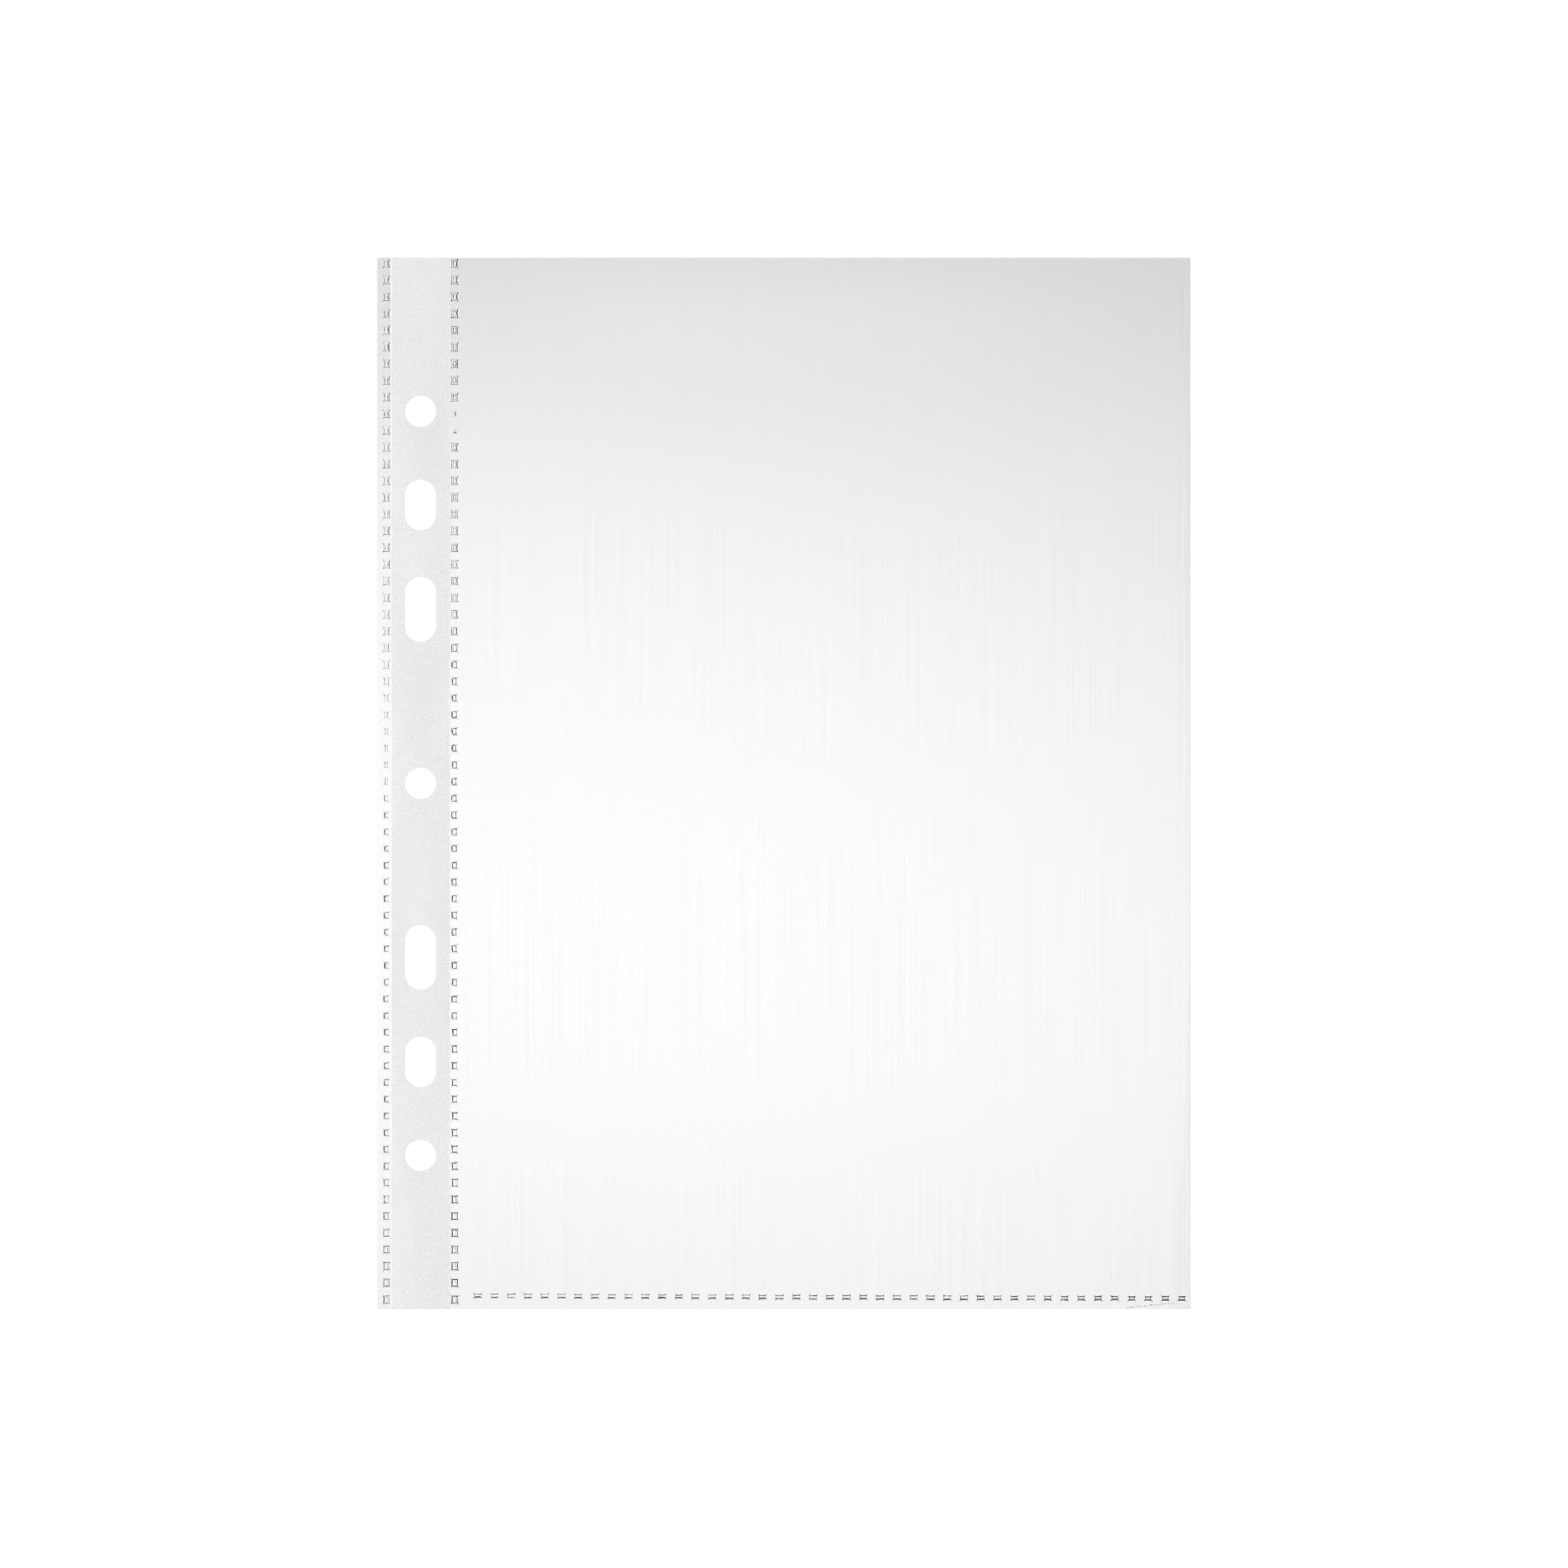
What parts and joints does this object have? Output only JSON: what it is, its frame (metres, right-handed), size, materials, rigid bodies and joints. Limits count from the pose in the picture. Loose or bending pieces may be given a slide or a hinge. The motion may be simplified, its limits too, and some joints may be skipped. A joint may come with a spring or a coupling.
{
  "type": "sheet protector",
  "caption": "Clear film pocket for an A5 sheet, folded at the right, welded along the bottom and beside a punched margin with a milky reinforcing strip, open at the top.",
  "frame": {"origin": "under the middle of the flat sheet, on the surface that it lies on", "axes": "+X from the punched margin to the fold, +Y from the welded bottom to the open mouth, +Z out of the front"},
  "size_m": [0.1694, 0.219, 0.0004],
  "materials": {
    "clear_film": "gloss",
    "milky_strip": "satin",
    "fused_film": "satin"
  },
  "bodies": {
    "binding_margin": {"back_margin": "clear_film", "reinforcing_strip": "milky_strip", "front_margin": "clear_film", "outer_welds": "fused_film", "inner_welds": "fused_film"},
    "pocket_back": {"back_crease": "clear_film", "front_crease": "clear_film", "back_sheet": "clear_film", "side_fold": "clear_film", "front_hem": "clear_film", "bottom_welds": "fused_film"},
    "pocket_front": {"front_sheet": "clear_film"}
  },
  "joints": [
    {"name": "leaf_turn", "type": "hinge", "parent": "binding_margin", "child": "pocket_back", "pos_m": [-0.06675, 0, 0.00012], "axis": [0, -1, 0], "range_deg": [0, 90], "deforming": ["front_crease", "back_crease"]},
    {"name": "mouth_open", "type": "hinge", "parent": "pocket_back", "child": "pocket_front", "pos_m": [0.0088, -0.10512, 0.00034], "axis": [1, 0, 0], "range_deg": [0, 5]}
  ]
}
